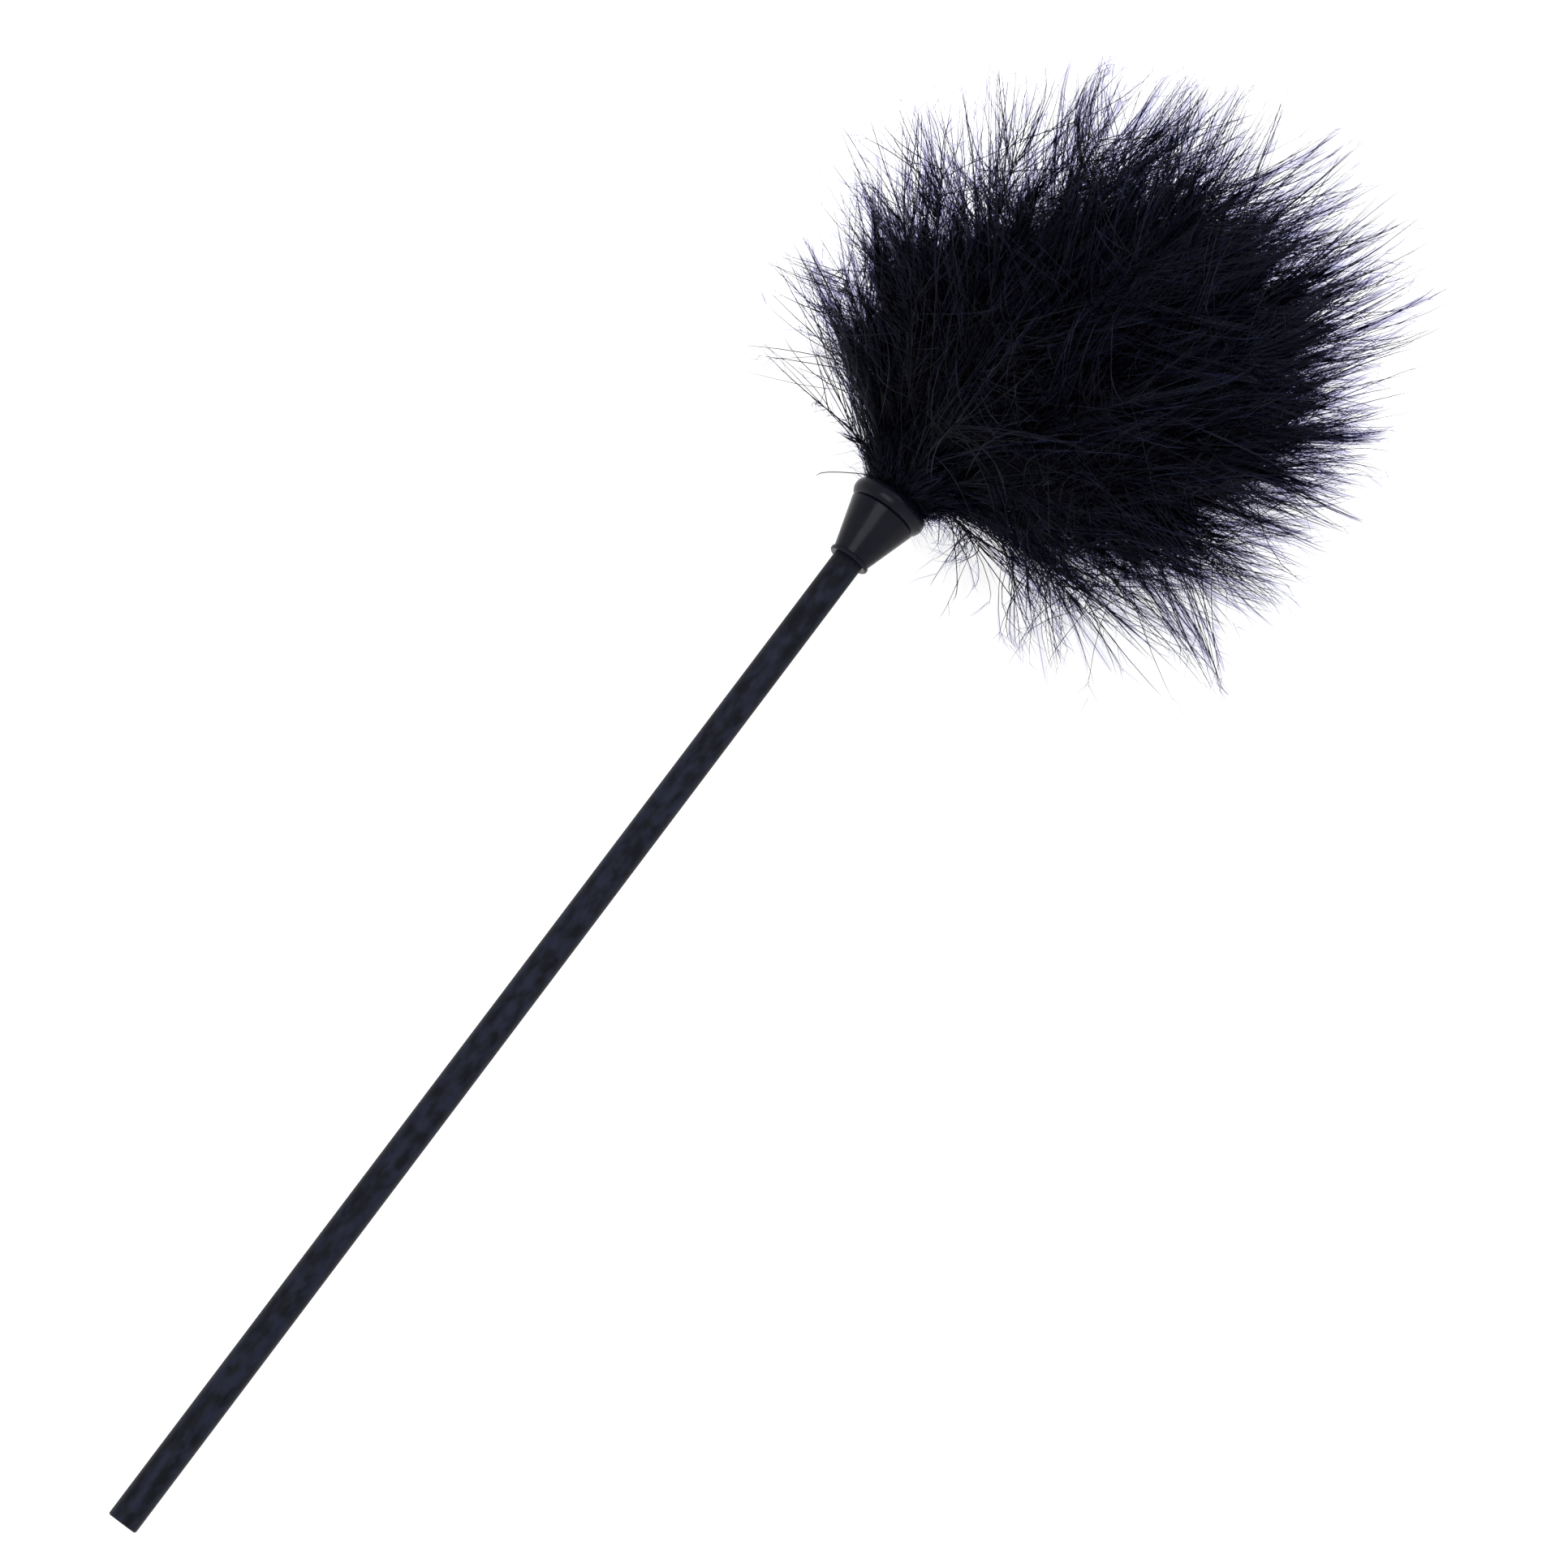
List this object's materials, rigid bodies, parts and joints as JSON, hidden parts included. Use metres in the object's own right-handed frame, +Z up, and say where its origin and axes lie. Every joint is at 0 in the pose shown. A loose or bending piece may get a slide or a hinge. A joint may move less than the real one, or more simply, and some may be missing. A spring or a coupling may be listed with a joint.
{
  "type": "feather duster",
  "caption": "Small hand duster: a thin straight stick, a moulded cone with a beaded mouth, and a round head of soft black marabou plumes, lying on its side.",
  "frame": {"origin": "on the table, under the middle of the duster's box as it lies on its side", "axes": "+X along the duster from the butt of the stick to the feather head, seen from above; the stick rises 8 degrees towards the head; +Z up from the table; the head is fuller towards -Y"},
  "size_m": [0.4248, 0.1356, 0.1167],
  "materials": {
    "stick": "satin",
    "cone": "satin",
    "thread": "matte",
    "glue": "gloss",
    "plume": "matte"
  },
  "bodies": {
    "root": {"binding_thread": "thread", "ferrule_cone": "cone", "glue_fill": "glue", "handle_rod": "stick", "plume_collar_01": "plume", "plume_collar_02": "plume", "plume_collar_03": "plume", "plume_collar_04": "plume", "plume_collar_05": "plume", "plume_collar_06": "plume", "plume_collar_07": "plume", "plume_collar_08": "plume", "plume_crown_01": "plume", "plume_crown_02": "plume", "plume_crown_03": "plume", "plume_crown_04": "plume", "plume_side_01": "plume", "plume_side_02": "plume", "plume_side_03": "plume", "plume_side_04": "plume", "plume_side_05": "plume", "plume_side_06": "plume", "plume_side_07": "plume", "plume_side_08": "plume", "plume_side_09": "plume", "plume_side_10": "plume", "plume_side_11": "plume", "plume_skirt_01": "plume", "plume_skirt_02": "plume", "plume_skirt_03": "plume", "plume_skirt_04": "plume", "plume_skirt_05": "plume", "plume_skirt_06": "plume", "plume_skirt_07": "plume", "plume_skirt_08": "plume", "plume_skirt_09": "plume", "plume_skirt_10": "plume", "plume_skirt_11": "plume", "plume_upper_01": "plume", "plume_upper_02": "plume", "plume_upper_03": "plume", "plume_upper_04": "plume", "plume_upper_05": "plume", "plume_upper_06": "plume", "plume_upper_07": "plume", "plume_upper_08": "plume"}
  },
  "joints": []
}
